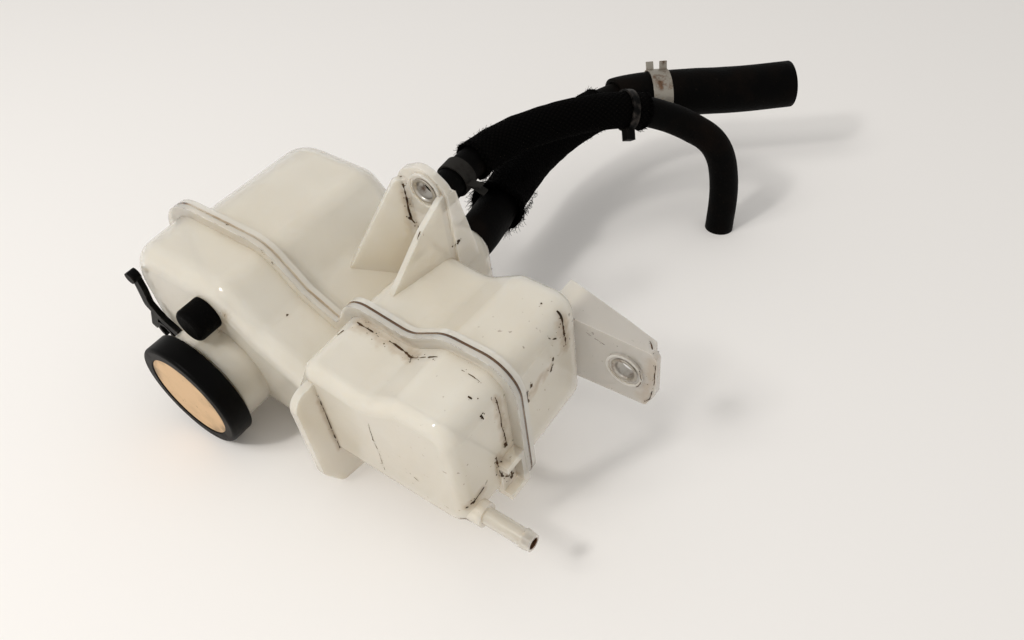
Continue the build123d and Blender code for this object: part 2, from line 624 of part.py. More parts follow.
pieces["outlet_hose"] = tube("outlet_hose", outlet_route, outlet_radii, OUTLET_HOSE_R, OUTLET_R + HOSE_FIT)
pieces["vent_hose"] = tube("vent_hose", vent_route, vent_radii, VENT_HOSE_R, VENT_R + HOSE_FIT)
pieces["end_hose"] = tube("end_hose", end_route, end_radii, END_HOSE_R, END_HOSE_BORE_R)
pieces["outlet_sleeve"] = sleeve("outlet_sleeve", outlet_bare, outlet_sleeved, outlet_tail,
                                 outlet_radii, OUTLET_HOSE_R)
pieces["vent_sleeve"] = sleeve("vent_sleeve", vent_bare, vent_sleeved, vent_tail, vent_radii, VENT_HOSE_R)
pieces["outlet_clamp"] = spring_clamp(resting_point(OUTLET_X, OUTLET_CLAMP_Y, OUTLET_Z), spigot_line,
                                      OUTLET_TANGS, OUTLET_HOSE_R, CLAMP_WIDTH, TANG_REACH, TANG_SPREAD)
pieces["vent_clamp"] = spring_clamp(middle(vent_route[1], vent_bare[0]), vent_clamp_line, VENT_TANGS,
                                    VENT_HOSE_R, CLAMP_WIDTH, TANG_REACH, TANG_SPREAD)
pieces["band_clamp"] = spring_clamp(along(tail_bend, tail_end, BAND_CLAMP_REACH), band_line, BAND_TANGS,
                                    END_HOSE_R, BAND_WIDTH, BAND_TANG_REACH, BAND_TANG_SPREAD)
pieces["cable_tie"] = cable_tie(middle(vent_sleeved[-2], vent_sleeved[-1]), tie_line, TIE_HEAD_SIDE,
                                sleeved_vent_r)

print("origin", origin)
for route in (outlet_route, vent_route, end_route):
    print("route", [tuple(round(v, 2) for v in point) for point in route])
os.makedirs("parts", exist_ok=True)
for name, piece in pieces.items():
    export_step(piece, f"parts/{name}.step")
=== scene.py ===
import json
import math
import random
from collections import namedtuple

import bmesh
import bpy
from mathutils import Matrix, Vector, noise
from mathutils.bvhtree import BVHTree


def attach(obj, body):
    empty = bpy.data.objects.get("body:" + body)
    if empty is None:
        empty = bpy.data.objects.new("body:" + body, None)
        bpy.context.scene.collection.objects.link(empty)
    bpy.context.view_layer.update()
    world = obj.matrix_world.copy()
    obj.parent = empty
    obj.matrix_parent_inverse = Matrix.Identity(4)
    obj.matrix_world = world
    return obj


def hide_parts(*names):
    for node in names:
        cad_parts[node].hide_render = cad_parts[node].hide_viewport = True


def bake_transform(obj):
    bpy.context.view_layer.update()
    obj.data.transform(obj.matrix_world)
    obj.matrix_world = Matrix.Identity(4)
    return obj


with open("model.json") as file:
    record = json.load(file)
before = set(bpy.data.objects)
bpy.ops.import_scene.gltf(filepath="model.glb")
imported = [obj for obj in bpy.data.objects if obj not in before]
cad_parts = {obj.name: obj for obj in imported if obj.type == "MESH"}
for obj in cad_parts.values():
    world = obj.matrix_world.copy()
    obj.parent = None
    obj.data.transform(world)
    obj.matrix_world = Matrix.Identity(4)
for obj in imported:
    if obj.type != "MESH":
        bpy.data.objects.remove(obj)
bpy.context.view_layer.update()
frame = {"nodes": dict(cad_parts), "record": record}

# The tank's own axes: X along it, Y through its two halves, Z up. It lies tipped about X on its cap rim.
TANK_TILT = math.radians(9.5)
TANK_ORIGIN = Vector((0.0646979, 0.00777935, 0.000591161))
SEAM_NORMAL = Vector((0, math.cos(TANK_TILT), math.sin(TANK_TILT)))
SEAM_OFFSET = TANK_ORIGIN.dot(SEAM_NORMAL)

# Camera of the photograph
CAMERA_PLACE = (0.242302, -0.228779, 0.335409)
CAMERA_LOOK = (-0.4546, 0.6166, -0.6428)
CAMERA_LENS = 31.64
SENSOR_WIDTH = 36.0

# Routes of the hoses in metres, from the tank outwards
OUTLET_ROUTE = [
    (-0.0167, 0.06472, 0.04601), (-0.0167, 0.08524, 0.04945), (-0.0226, 0.10972, 0.0504), (-0.0296, 0.13172, 0.0509),
    (-0.0361, 0.15422, 0.0514), (-0.0411, 0.17722, 0.0524), (-0.0421, 0.20022, 0.0549), (-0.0396, 0.22322, 0.0579),
    (-0.0341, 0.24472, 0.0614), (-0.0241, 0.26422, 0.0640), (-0.0085, 0.27972, 0.0644)]
VENT_ROUTE = [
    (-0.0347, 0.06027, 0.07264), (-0.0347, 0.08473, 0.07674), (-0.0364, 0.10972, 0.0815), (-0.0339, 0.13302, 0.0850),
    (-0.0249, 0.15352, 0.0880), (-0.0119, 0.17452, 0.0905), (0.0016, 0.19552, 0.0900), (0.0131, 0.21352, 0.0860),
    (0.0254, 0.22772, 0.0790), (0.0361, 0.23652, 0.0720), (0.0461, 0.24402, 0.0645), (0.0526, 0.24802, 0.0535),
    (0.0564, 0.25002, 0.0385), (0.0584, 0.25082, 0.0195), (0.0584, 0.25082, 0.0)]
END_ROUTE = [
    (-0.02874, 0.25518, 0.06279), (-0.0241, 0.26422, 0.0640), (0.00569, 0.29382, 0.06476), (0.0314, 0.31972, 0.0636),
    (0.0544, 0.34272, 0.0654)]
OUTLET_HOSE_R = 0.012
VENT_HOSE_R = 0.009
END_HOSE_R = 0.0153
HOSE_WALL = 0.0032
END_HOSE_WALL = 0.0028
HOSE_SIDES = 40
HOSE_UNEVENNESS = 0.0002

# Points read from the smooth curve in each run of a route, and the runs at which each sleeve starts and ends
POINTS_PER_RUN = 10
OUTLET_SLEEVED = (2.2, 8.1)
VENT_SLEEVED = (1.7, 7.0)
OUTLET_SLEEVE_R = 0.0137
VENT_SLEEVE_R = 0.0107
SLEEVE_WALL = 0.0012
SLEEVE_SIDES = 56
SLEEVE_WRINKLE = 0.0004

# Weave of a sleeve: its phase for each metre along it and each radian round it; then the yarns of its ragged ends
WEAVE_ALONG = 900
WEAVE_ROUND = 12
YARN_R = 0.00014
YARN_SIDES = 4
YARN_STEPS = 5
FLARED_ROWS = 7
Fray = namedtuple("Fray", "count reach flare")

# Dirt: rise of the floor of the seam groove, half that floor's width, and height, steps and crumbs of caked dirt
GROOVE_FILL = 0.0023
GROOVE_HALF = 0.00045
DIRT_RISE = 0.00008
RIBBON_STEP = 0.0004
CRUMBS_PER_METRE = 450
CRUMBS_AT_LEAST = 2
CRUMB_CORNERS = 7

# Merged copies: facets within the first angle are one face, and edges sharper than the second are eased, in degrees
FLAT_WITHIN = 0.4
SHARP_FROM = 32.0
MERGE_GAP = 2e-6

# Blender's noise module seeds itself by the clock unless a seed is set
NOISE_SEED = 1
noise.seed_set(NOISE_SEED)


def on_tank(x, y, z):
    """Place in the frame of a point given in millimetres along the tank's own axes."""
    return Matrix.Rotation(TANK_TILT, 3, "X") @ Vector((x / 1000, y / 1000, z / 1000)) - TANK_ORIGIN


# Shader building blocks

OCCLUSION_SAMPLES = 3


def add_node(tree, kind, inputs=None, **settings):
    """A node with its settings made and its sockets filled or linked."""
    made = tree.nodes.new(kind)
    for name, value in settings.items():
        setattr(made, name, value)
    for socket, value in (inputs or {}).items():
        if isinstance(value, bpy.types.NodeSocket):
            tree.links.new(value, made.inputs[socket])
        else:
            made.inputs[socket].default_value = value
    return made


def math_of(tree, operation, a, b=0.0, clamp=False):
    return add_node(tree, "ShaderNodeMath", {0: a, 1: b}, operation=operation, use_clamp=clamp).outputs[0]


def times(tree, *factors):
    product = factors[0]
    for factor in factors[1:]:
        product = math_of(tree, "MULTIPLY", product, factor)
    return product


def plus(tree, *terms):
    total = terms[0]
    for term in terms[1:]:
        total = math_of(tree, "ADD", total, term)
    return total


def vector_of(tree, operation, a, b=(0, 0, 0)):
    made = add_node(tree, "ShaderNodeVectorMath", {0: a, 1: b}, operation=operation)
    return made.outputs["Value" if operation in ("DOT_PRODUCT", "LENGTH", "DISTANCE") else "Vector"]


def scaled(tree, vector, factor):
    return add_node(tree, "ShaderNodeVectorMath", {0: vector, "Scale": factor}, operation="SCALE").outputs["Vector"]


def coordinate(tree, vector, axis):
    return add_node(tree, "ShaderNodeSeparateXYZ", {"Vector": vector}).outputs[axis]


def ramp_of(tree, value, low, high):
    """Smooth step from 0 at low to 1 at high; low may be the larger."""
    made = add_node(tree, "ShaderNodeMapRange", {"Value": value, "From Min": low, "From Max": high})
    made.interpolation_type = "SMOOTHSTEP"
    return made.outputs["Result"]


def mix_of(tree, mask, under, over):
    made = add_node(tree, "ShaderNodeMix", {"Factor": mask, 6: under, 7: over}, data_type="RGBA")
    return made.outputs[2]


def noise_of(tree, place, scale, detail=3.0, roughness=0.55, output="Fac"):
    inputs = {"Vector": place, "Scale": scale, "Detail": detail, "Roughness": roughness}
    return add_node(tree, "ShaderNodeTexNoise", inputs).outputs[output]


def start_group(name, inputs, outputs):
    """An empty node group with float or vector inputs and float outputs."""
    tree = bpy.data.node_groups.new(name, "ShaderNodeTree")
    for label, value in inputs.items():
        kind = "NodeSocketFloat" if isinstance(value, float) else "NodeSocketVector"
        tree.interface.new_socket(label, in_out="INPUT", socket_type=kind).default_value = value
    for label in outputs:
        tree.interface.new_socket(label, in_out="OUTPUT", socket_type="NodeSocketFloat")
    return tree, tree.nodes.new("NodeGroupInput").outputs, tree.nodes.new("NodeGroupOutput").inputs


def use_group(tree, group, inputs, output):
    return add_node(tree, "ShaderNodeGroup", inputs, node_tree=group).outputs[output]


def object_place(tree):
    return add_node(tree, "ShaderNodeTexCoord").outputs["Object"]


def make_soiled_line():
    """Mask of a dirty line between two points that wanders with a drift vector."""
    origin = (0.0, 0.0, 0.0)
    tree, given, made = start_group(
        "Soiled line", {"Drift": origin, "From": origin, "To": origin, "Width": 0.001, "Wander": 0.001}, ["Mask"])
    place = vector_of(tree, "ADD", object_place(tree), scaled(tree, given["Drift"], given["Wander"]))
    run = vector_of(tree, "SUBTRACT", given["To"], given["From"])
    reach = vector_of(tree, "SUBTRACT", place, given["From"])
    along = vector_of(tree, "DOT_PRODUCT", reach, run)
    share = math_of(tree, "DIVIDE", along, vector_of(tree, "DOT_PRODUCT", run, run), clamp=True)
    away = vector_of(tree, "LENGTH", vector_of(tree, "SUBTRACT", reach, scaled(tree, run, share)))
    line = add_node(tree, "ShaderNodeMapRange", {"Value": away, "From Min": given["Width"], "From Max": 0.0})
    tree.links.new(line.outputs["Result"], made["Mask"])
    return tree


def make_recess_grime_and_shade():
    """Mask strongest in corners and round roots, from occlusion: for grime and rust in patches, and for painted shade
    when made even.
    """
    tree, given, made = start_group("Recess grime and shade", {"Reach": 0.006, "Patch scale": 60.0, "Evenness": 0.0}, ["Mask"])
    shade = add_node(tree, "ShaderNodeAmbientOcclusion", {"Distance": given["Reach"]}, samples=OCCLUSION_SAMPLES)
    corner = ramp_of(tree, shade.outputs["AO"], 0.80, 0.25)
    patches = ramp_of(tree, noise_of(tree, object_place(tree), given["Patch scale"], 4.0), 0.35, 0.65)
    tree.links.new(times(tree, corner, math_of(tree, "MAXIMUM", patches, given["Evenness"])), made["Mask"])
    return tree


def make_specks():
    """Mask of small scattered specks of dirt."""
    tree, given, made = start_group("Specks", {"Scale": 300.0, "Threshold": 0.7}, ["Mask"])
    fine = noise_of(tree, object_place(tree), given["Scale"], 2.0, 0.5)
    over = math_of(tree, "SUBTRACT", fine, given["Threshold"])
    tree.links.new(math_of(tree, "MULTIPLY", over, 18.0, clamp=True), made["Mask"])
    return tree


def make_worn_and_sheen_edges():
    """Mask of outward edges in patches: edges rubbed by handling, which on black plastic also carry a painted
    highlight.
    """
    tree, given, made = start_group("Worn and sheen edges", {"Reach": 0.0015}, ["Mask"])
    shade = add_node(
        tree, "ShaderNodeAmbientOcclusion", {"Distance": given["Reach"]}, samples=OCCLUSION_SAMPLES, inside=True)
    edge = ramp_of(tree, shade.outputs["AO"], 0.62, 0.30)
    patches = ramp_of(tree, noise_of(tree, object_place(tree), 190.0, 4.0), 0.42, 0.66)
    tree.links.new(times(tree, edge, patches), made["Mask"])
    return tree


SOILED_LINE = make_soiled_line()
RECESS_GRIME_AND_SHADE = make_recess_grime_and_shade()
SPECKS = make_specks()
WORN_AND_SHEEN_EDGES = make_worn_and_sheen_edges()


def start_material(name, **constants):
    """A material whose shader has these plain socket values; returns it, its tree and its shader."""
    made = bpy.data.materials.new(name)
    made.use_nodes = True
    tree = made.node_tree
    shader = tree.nodes["Principled BSDF"]
    for socket, value in constants.items():
        shader.inputs[socket.replace("_", " ")].default_value = value
    return made, tree, shader


def add_bump(tree, shader, height, distance, strength=1.0):
    bump = add_node(tree, "ShaderNodeBump", {"Height": height, "Distance": distance, "Strength": strength})
    tree.links.new(bump.outputs["Normal"], shader.inputs["Normal"])


def soiled_lines(tree, marks):
    """Mask of a list of lines, each with its two ends in tank millimetres, its width and its wander."""
    drift = noise_of(tree, object_place(tree), 160.0, 2.0, output="Color")
    drift = vector_of(tree, "SUBTRACT", drift, (0.5, 0.5, 0.5))
    near = None
    for start, end, width, wander in marks:
        line = use_group(tree, SOILED_LINE, {
            "Drift": drift, "From": on_tank(*start), "To": on_tank(*end),
            "Width": width / 1000, "Wander": wander / 1000}, "Mask")
        near = line if near is None else math_of(tree, "MAXIMUM", near, line)
    return near


# Finishes: colours of the tank, its dirt and its painted shade, then of the plastic with a painted edge highlight,
# label, steel, rubber and yarn

MILKY = (0.815, 0.785, 0.715, 1)
# The next colour is a random straw tone of the plastic and also the painted shade in its recesses
STRAW = (0.690, 0.615, 0.475, 1)
# The next colour is brown dirt, and also painted shade in the tank's corners
AMBER = (0.40, 0.28, 0.15, 1)
PLATE_GREY = (0.50, 0.47, 0.42, 1)
# The next colour is the seam groove's dirt and also the painted shade in the barb's bore
GROOVE_DIRT_AND_BORE_SHADE = (0.085, 0.034, 0.010, 1)
ROAD_DIRT = (0.075, 0.042, 0.022, 1)
BLACK_DIRT = (0.026, 0.017, 0.011, 1)
THIN_FILLING = (0.42, 0.29, 0.18, 1)
PACKED_FILLING = (0.032, 0.018, 0.010, 1)
PLASTIC_BLACK = (0.0010, 0.0009, 0.0008, 1)
PLASTIC_DUST = (0.005, 0.0042, 0.0036, 1)
# The next colour is the grey of rubbed edges and also a painted highlight on them
PLASTIC_WORN_AND_SHEEN = (0.10, 0.085, 0.075, 1)
LABEL_ORANGE = (0.64, 0.43, 0.24, 1)
LABEL_STAIN = (0.42, 0.28, 0.15, 1)
LABEL_RIM = (0.17, 0.12, 0.08, 1)
BUSH_STEEL = (0.52, 0.49, 0.44, 1)
VALVE_STEEL = (0.60, 0.59, 0.57, 1)
CLAMP_STEEL = (0.36, 0.33, 0.28, 1)
STEEL_COATING = (0.003, 0.0025, 0.002, 1)
DARK_RUST = (0.07, 0.038, 0.020, 1)
PALE_RUST = (0.15, 0.085, 0.050, 1)
RUBBER_BLACK = (0.0008, 0.0007, 0.0006, 1)
RUBBER_FILM = (0.0080, 0.0050, 0.0035, 1)
RUBBER_SCUFF = (0.020, 0.015, 0.012, 1)
YARN_DARK = (0.0006, 0.0005, 0.0005, 1)
YARN_PALE = (0.0022, 0.0018, 0.0016, 1)

# Share of the light that passes through each surface of the tank's walls, and share of what lies behind that shows
LET_THROUGH = 0.85
SEEN_THROUGH = 0.4

# Zones of the finishes in metres, each as the place where it starts and the place from which it is full
GROOVE_BAND = (0.00080, 0.00050)
FLANGE_FRONT = -0.0031
FLANGE_BAND = (0.0009, 0.0004)
PACKED_RIGHT = (-0.014, 0.006)
PACKED_LEFT = (-0.100, -0.110)
PLATES_DEEP = (0.0478, 0.0492)
PLATES_ALONG = (-0.013, -0.009)
TAB_ALONG = (0.078, 0.086)
BARB_ALONG = (0.0895, 0.0925)
BARB_DEEP = (-0.020, -0.024)
SPECKED_ALONG = (0.03, 0.09)
LABEL_STAINED = (0.0175, 0.0240)
COATED_NEAR = (0.20, 0.15)

# Middle of the label, in tank millimetres
LABEL_CENTRE = (0, -60, 40.4)

# Broad brown smears on the tank: two ends in tank millimetres, width and wander
TANK_SMEARS = [
    ((77, -6, 85.6), (110, -8, 86), 6.0, 8.0),
    ((153.2, -8, 86), (153.3, -8, 56), 3.5, 5.0),
    ((153.5, -13, 52), (154.5, -11, 33), 5.0, 6.0),
    ((151.5, -34, 42), (152.8, -26, 44), 5.0, 6.0),
    ((76, -38, 66), (76, -38, 30), 2.5, 2.0),
    ((152.5, 39, 88), (152.4, 40, 71), 6.0, 8.0),
    ((152.8, 28, 70), (153.2, 11, 68), 5.0, 9.0),
    ((186, 50, 44), (190, 50, 72), 6.0, 8.0),
    ((61, 50, 112), (62.5, 50, 92), 4.0, 4.0),
    ((6, -34, 66), (16, -32, 81), 4.0, 8.0),
]

# Axis of the mouth of the hose barb's bore, where the shade inside the bore is painted dark
BARB_BORE = ((178, -30, 33), (190, -30, 33), 5.0, 0.0)

# Dirty cracks, creases and spots: points in tank millimetres, width and wander
TANK_MARKS = [
    # top and edges of the front right lobe
    ([(75, -5.9, 85.8), (78.8, -6.2, 85.5), (87.8, -6.8, 84.3)], 1.2, 2.5),
    ([(93, -5.7, 83.7), (96.4, -5.8, 83.2), (108.9, -8.5, 85.8), (114.4, -8.9, 89), (124, -7.5, 94.2)], 1.1, 2.5),
    ([(108.9, -8.5, 85.8), (111.1, -12.1, 87)], 0.9, 2.0),
    ([(136.8, -7.9, 94.6), (146, -8.4, 93.6)], 0.6, 1.0),
    ([(152.2, -7.9, 87.7), (153.3, -8, 69.7), (153.3, -7.3, 53.8)], 0.8, 1.5),
    ([(146, -16.6, 93), (148, -16, 92.7)], 1.0, 3.0),
    ([(152.5, -17.6, 87), (152.6, -17.2, 84)], 1.4, 2.0),
    ([(72.2, -15.4, 84.8), (73.2, -11.9, 85.3)], 1.0, 3.0),
    # slotted lug and barb
    ([(153.1, -15.4, 54.2), (154.5, -14.6, 42), (154.5, -9, 32.1)], 1.5, 3.0),
    ([(155.8, -9.3, 50), (154.5, -9, 32.1)], 1.3, 3.0),
    ([(153.3, -8.3, 57), (153.3, -8.3, 54)], 1.6, 2.0),
    ([(151.5, -34.3, 42.8), (152.7, -31, 43.1)], 2.2, 3.0),
    ([(148.4, -36.7, 32.7), (152, -36, 29)], 1.3, 3.0),
    ([(152.7, -31, 43.1), (152.9, -24.6, 44.7)], 1.2, 4.0),
    # front right wall and foot fin
    ([(105.9, -37.5, 71), (105, -37.5, 58), (106.1, -37.5, 47.5), (105.7, -37.5, 35.3)], 0.6, 1.5),
    ([(105, -37.5, 59), (105, -37.5, 56.5)], 1.3, 1.0),
    ([(123.4, -37.5, 47.7), (128.3, -37.5, 44.9)], 0.9, 2.0),
    ([(76.1, -37.5, 69.5), (76, -37.8, 43.8), (76, -37.6, 29.3)], 0.8, 0.6),
    # right wall of the rear half
    ([(153.2, 13.1, 73), (153.2, 13, 71)], 1.6, 2.0),
    ([(153.2, 10, 72), (153.2, 10.4, 64.4)], 1.2, 4.0),
    ([(152.7, 30, 73), (152.7, 29.6, 70)], 2.0, 2.0),
    ([(152.8, 28.5, 69), (152.8, 27, 66)], 1.5, 3.0),
    ([(152.2, 29.5, 86.1), (152.6, 34.3, 81.6)], 0.8, 4.0),
    ([(142.2, 38.7, 93.6), (143, 38.2, 93.6)], 1.0, 0.5),
    # tab
    ([(148.8, 40.9, 90.8), (152.2, 39.1, 85.1), (152.4, 40.4, 70.9)], 1.3, 4.0),
    ([(156.6, 50, 72.6), (166.3, 50, 69.7)], 0.5, 1.0),
    ([(184.5, 55.2, 77.5), (188.4, 52.4, 77.5)], 1.0, 4.0),
    ([(190.9, 50, 71.7), (191.1, 50, 61.8), (189, 50, 46.1), (185.5, 50, 41.4)], 0.9, 2.0),
    ([(183, 48.4, 53), (185.8, 48.4, 59), (184.5, 48.4, 65)], 0.8, 1.0),
    # ear and its gussets
    ([(59.5, 51.5, 119.8), (61.6, 50, 113.6), (61.5, 49.8, 104.9), (61.6, 50, 95.7), (63.1, 51.4, 91.5)], 1.1, 1.5),
    ([(60.8, 49.5, 98), (63.5, 51.4, 91)], 1.8, 2.0),
    ([(78.8, 50.5, 121.4), (81.9, 50.9, 121.3)], 1.4, 1.5),
    ([(81, 36.1, 108), (80.8, 33.4, 105.3)], 0.7, 2.0),
    ([(84.1, 50.2, 88.9), (86, 54.3, 90.9)], 1.8, 2.0),
    # left lobe
    ([(-8.5, -0.7, 101), (-7.9, -0.7, 101)], 1.5, 0.5),
    ([(16.2, -3.2, 97.4), (16.8, -3.2, 97.2)], 1.0, 0.5),
    ([(21.2, -3.2, 93.6), (21.7, -3.2, 93.3)], 1.1, 0.5),
    ([(34.3, -13.7, 74.8), (34.8, -13.7, 74.7)], 1.4, 0.5),
    ([(16, -32.4, 82), (15, -32.6, 80)], 0.9, 4.0),
    ([(6.2, -34.2, 66.5), (5.8, -34.2, 64.5)], 1.5, 3.0),
]


def seam_depth(tree, place):
    """Distance of a place from the plane of the seam, towards the hoses."""
    return plus(tree, vector_of(tree, "DOT_PRODUCT", place, SEAM_NORMAL), SEAM_OFFSET)


def seam_soil(tree, place):
    """Share of dirt along the seam: thick on the right lobes and at the far left, thin between."""
    along = coordinate(tree, place, "X")
    packed = math_of(tree, "MAXIMUM", ramp_of(tree, along, *PACKED_RIGHT), ramp_of(tree, along, *PACKED_LEFT))
    uneven = ramp_of(tree, noise_of(tree, place, 75.0, 4.0), 0.30, 0.62)
    return plus(tree, times(tree, uneven, 0.25), 0.40, times(tree, packed, 0.35))


def milky_plastic():
    """Aged natural plastic of the tank: random straw tones, painted shade in its recesses and the barb's bore, brown
    dirt in the seam and on its ends.
    """
    material, tree, shader = start_material(
        "milky_plastic", IOR=1.49, Subsurface_Weight=1.0, Subsurface_Scale=0.004, Subsurface_Radius=(1.0, 0.95, 0.88),
        Coat_Weight=1.0, Coat_Roughness=0.12)
    place = object_place(tree)
    along = coordinate(tree, place, "X")
    cloud = ramp_of(tree, noise_of(tree, place, 14.0, 2.0), 0.25, 0.80)
    colour = mix_of(tree, times(tree, cloud, 0.35), MILKY, STRAW)
    # Painted shade: an even straw tint that deepens in the tank's broad recesses
    recess_shade = use_group(tree, RECESS_GRIME_AND_SHADE, {"Reach": 0.030, "Evenness": 1.0}, "Mask")
    colour = mix_of(tree, times(tree, recess_shade, 0.60), colour, STRAW)
    depth = seam_depth(tree, place)
    soil = seam_soil(tree, place)
    from_seam = math_of(tree, "ABSOLUTE", depth)
    groove = times(tree, ramp_of(tree, from_seam, *GROOVE_BAND), ramp_of(tree, soil, 0.1, 0.8))
    from_edge = math_of(tree, "ABSOLUTE", math_of(tree, "SUBTRACT", depth, FLANGE_FRONT))
    worn = use_group(tree, WORN_AND_SHEEN_EDGES, {"Reach": 0.0014}, "Mask")
    flange_edge = times(tree, ramp_of(tree, from_edge, *FLANGE_BAND), worn)
    plates = times(tree, ramp_of(tree, depth, *PLATES_DEEP), ramp_of(tree, along, *PLATES_ALONG))
    tab = times(tree, plates, ramp_of(tree, along, *TAB_ALONG))
    colour = mix_of(tree, plus(tree, times(tree, plates, 0.25), times(tree, tab, 0.75)), colour, PLATE_GREY)
    # Amber grime in patches in the tank's corners, which also paints shade there
    corner = use_group(tree, RECESS_GRIME_AND_SHADE, {"Reach": 0.005, "Patch scale": 55.0}, "Mask")
    colour = mix_of(tree, times(tree, corner, 0.30), colour, AMBER)
    colour = mix_of(tree, times(tree, flange_edge, 0.85), colour, ROAD_DIRT)
    colour = mix_of(tree, groove, colour, mix_of(tree, ramp_of(tree, soil, 0.55, 0.85), AMBER, GROOVE_DIRT_AND_BORE_SHADE))
    smears = ramp_of(tree, soiled_lines(tree, TANK_SMEARS), 0.0, 1.0)
    colour = mix_of(tree, times(tree, smears, 0.55), colour, AMBER)
    barb = times(tree, ramp_of(tree, along, *BARB_ALONG), ramp_of(tree, depth, *BARB_DEEP))
    colour = mix_of(tree, times(tree, barb, 0.45), colour, PLATE_GREY)
    # Painted shade: the mouth of the barb's bore is painted dark brown and made opaque
    bore = ramp_of(tree, soiled_lines(tree, [BARB_BORE]), 0.32, 0.46)
    colour = mix_of(tree, times(tree, bore, 0.95), colour, GROOVE_DIRT_AND_BORE_SHADE)
    specks = use_group(tree, SPECKS, {"Scale": 330.0, "Threshold": 0.70}, "Mask")
    soiled_end = plus(tree, times(tree, ramp_of(tree, along, *SPECKED_ALONG), 0.5), times(tree, tab, 0.4))
    colour = mix_of(tree, times(tree, specks, soiled_end), colour, ROAD_DIRT)
    tree.links.new(colour, shader.inputs["Base Color"])
    rough = ramp_of(tree, noise_of(tree, place, 45.0), 0.2, 0.8)
    tree.links.new(plus(tree, times(tree, rough, 0.10), 0.11), shader.inputs["Roughness"])
    wavy = plus(tree, noise_of(tree, place, 22.0, 2.0), times(tree, noise_of(tree, place, 260.0), 0.05))
    add_bump(tree, shader, wavy, 0.0020, 0.5)
    path = add_node(tree, "ShaderNodeLightPath").outputs
    near_wall = math_of(tree, "LESS_THAN", path["Transparent Depth"], 1.5)
    let_through = math_of(
        tree, "MAXIMUM", times(tree, path["Is Shadow Ray"], LET_THROUGH), times(tree, near_wall, SEEN_THROUGH))
    # Dirt in the seam groove and the painted shade in the barb's bore are kept opaque
    dirt_and_bore_shade = math_of(tree, "MAXIMUM", groove, bore)
    clean = math_of(tree, "SUBTRACT", 1.0, dirt_and_bore_shade, clamp=True)
    tree.links.new(math_of(tree, "SUBTRACT", 1.0, times(tree, let_through, clean)), shader.inputs["Alpha"])
    return material


def caked_dirt():
    """Black-brown dirt caked in cracks."""
    material, tree, shader = start_material("caked_dirt", Roughness=0.9, Specular_IOR_Level=0.1)
    tone = ramp_of(tree, noise_of(tree, object_place(tree), 300.0), 0.35, 0.65)
    tree.links.new(mix_of(tree, tone, BLACK_DIRT, ROAD_DIRT), shader.inputs["Base Color"])
    return material


def seam_filling():
    """Brown dirt that fills the groove round the seam."""
    material, tree, shader = start_material("seam_filling", Roughness=0.9, Specular_IOR_Level=0.1)
    soil = ramp_of(tree, seam_soil(tree, object_place(tree)), 0.40, 0.80)
    tree.links.new(mix_of(tree, soil, THIN_FILLING, PACKED_FILLING), shader.inputs["Base Color"])
    return material


def black_plastic(name, worn, roughness):
    """Black moulded plastic, greyed on its edges by wear and a painted highlight, and dulled by dust."""
    material, tree, shader = start_material(name, IOR=1.46, Specular_IOR_Level=0.07)
    place = object_place(tree)
    dust = ramp_of(tree, noise_of(tree, place, 70.0, 5.0), 0.45, 0.80)
    colour = mix_of(tree, times(tree, dust, 0.4), PLASTIC_BLACK, PLASTIC_DUST)
    # Grey of rubbed edges, which also paints the highlight along the edges
    edges = use_group(tree, WORN_AND_SHEEN_EDGES, {"Reach": 0.0018}, "Mask")
    colour = mix_of(tree, times(tree, edges, worn), colour, PLASTIC_WORN_AND_SHEEN)
    tree.links.new(colour, shader.inputs["Base Color"])
    tree.links.new(plus(tree, times(tree, dust, 0.2), roughness), shader.inputs["Roughness"])
    add_bump(tree, shader, noise_of(tree, place, 900.0, 2.0), 0.00006)
    return material


def label_card():
    """Bare pale orange label disc, stained towards its rim."""
    material, tree, shader = start_material("label_card", Roughness=0.55, Specular_IOR_Level=0.3)
    place = object_place(tree)
    rim = ramp_of(tree, vector_of(tree, "DISTANCE", place, on_tank(*LABEL_CENTRE)), *LABEL_STAINED)
    stain = ramp_of(tree, noise_of(tree, place, 85.0, 5.0), 0.42, 0.70)
    colour = mix_of(tree, times(tree, stain, 0.35), LABEL_ORANGE, LABEL_STAIN)
    colour = mix_of(tree, times(tree, rim, stain, 0.75), colour, LABEL_RIM)
    specks = use_group(tree, SPECKS, {"Scale": 420.0, "Threshold": 0.68}, "Mask")
    colour = mix_of(tree, times(tree, specks, 0.5), colour, ROAD_DIRT)
    tree.links.new(colour, shader.inputs["Base Color"])
    add_bump(tree, shader, noise_of(tree, place, 300.0, 4.0), 0.0001)
    return material


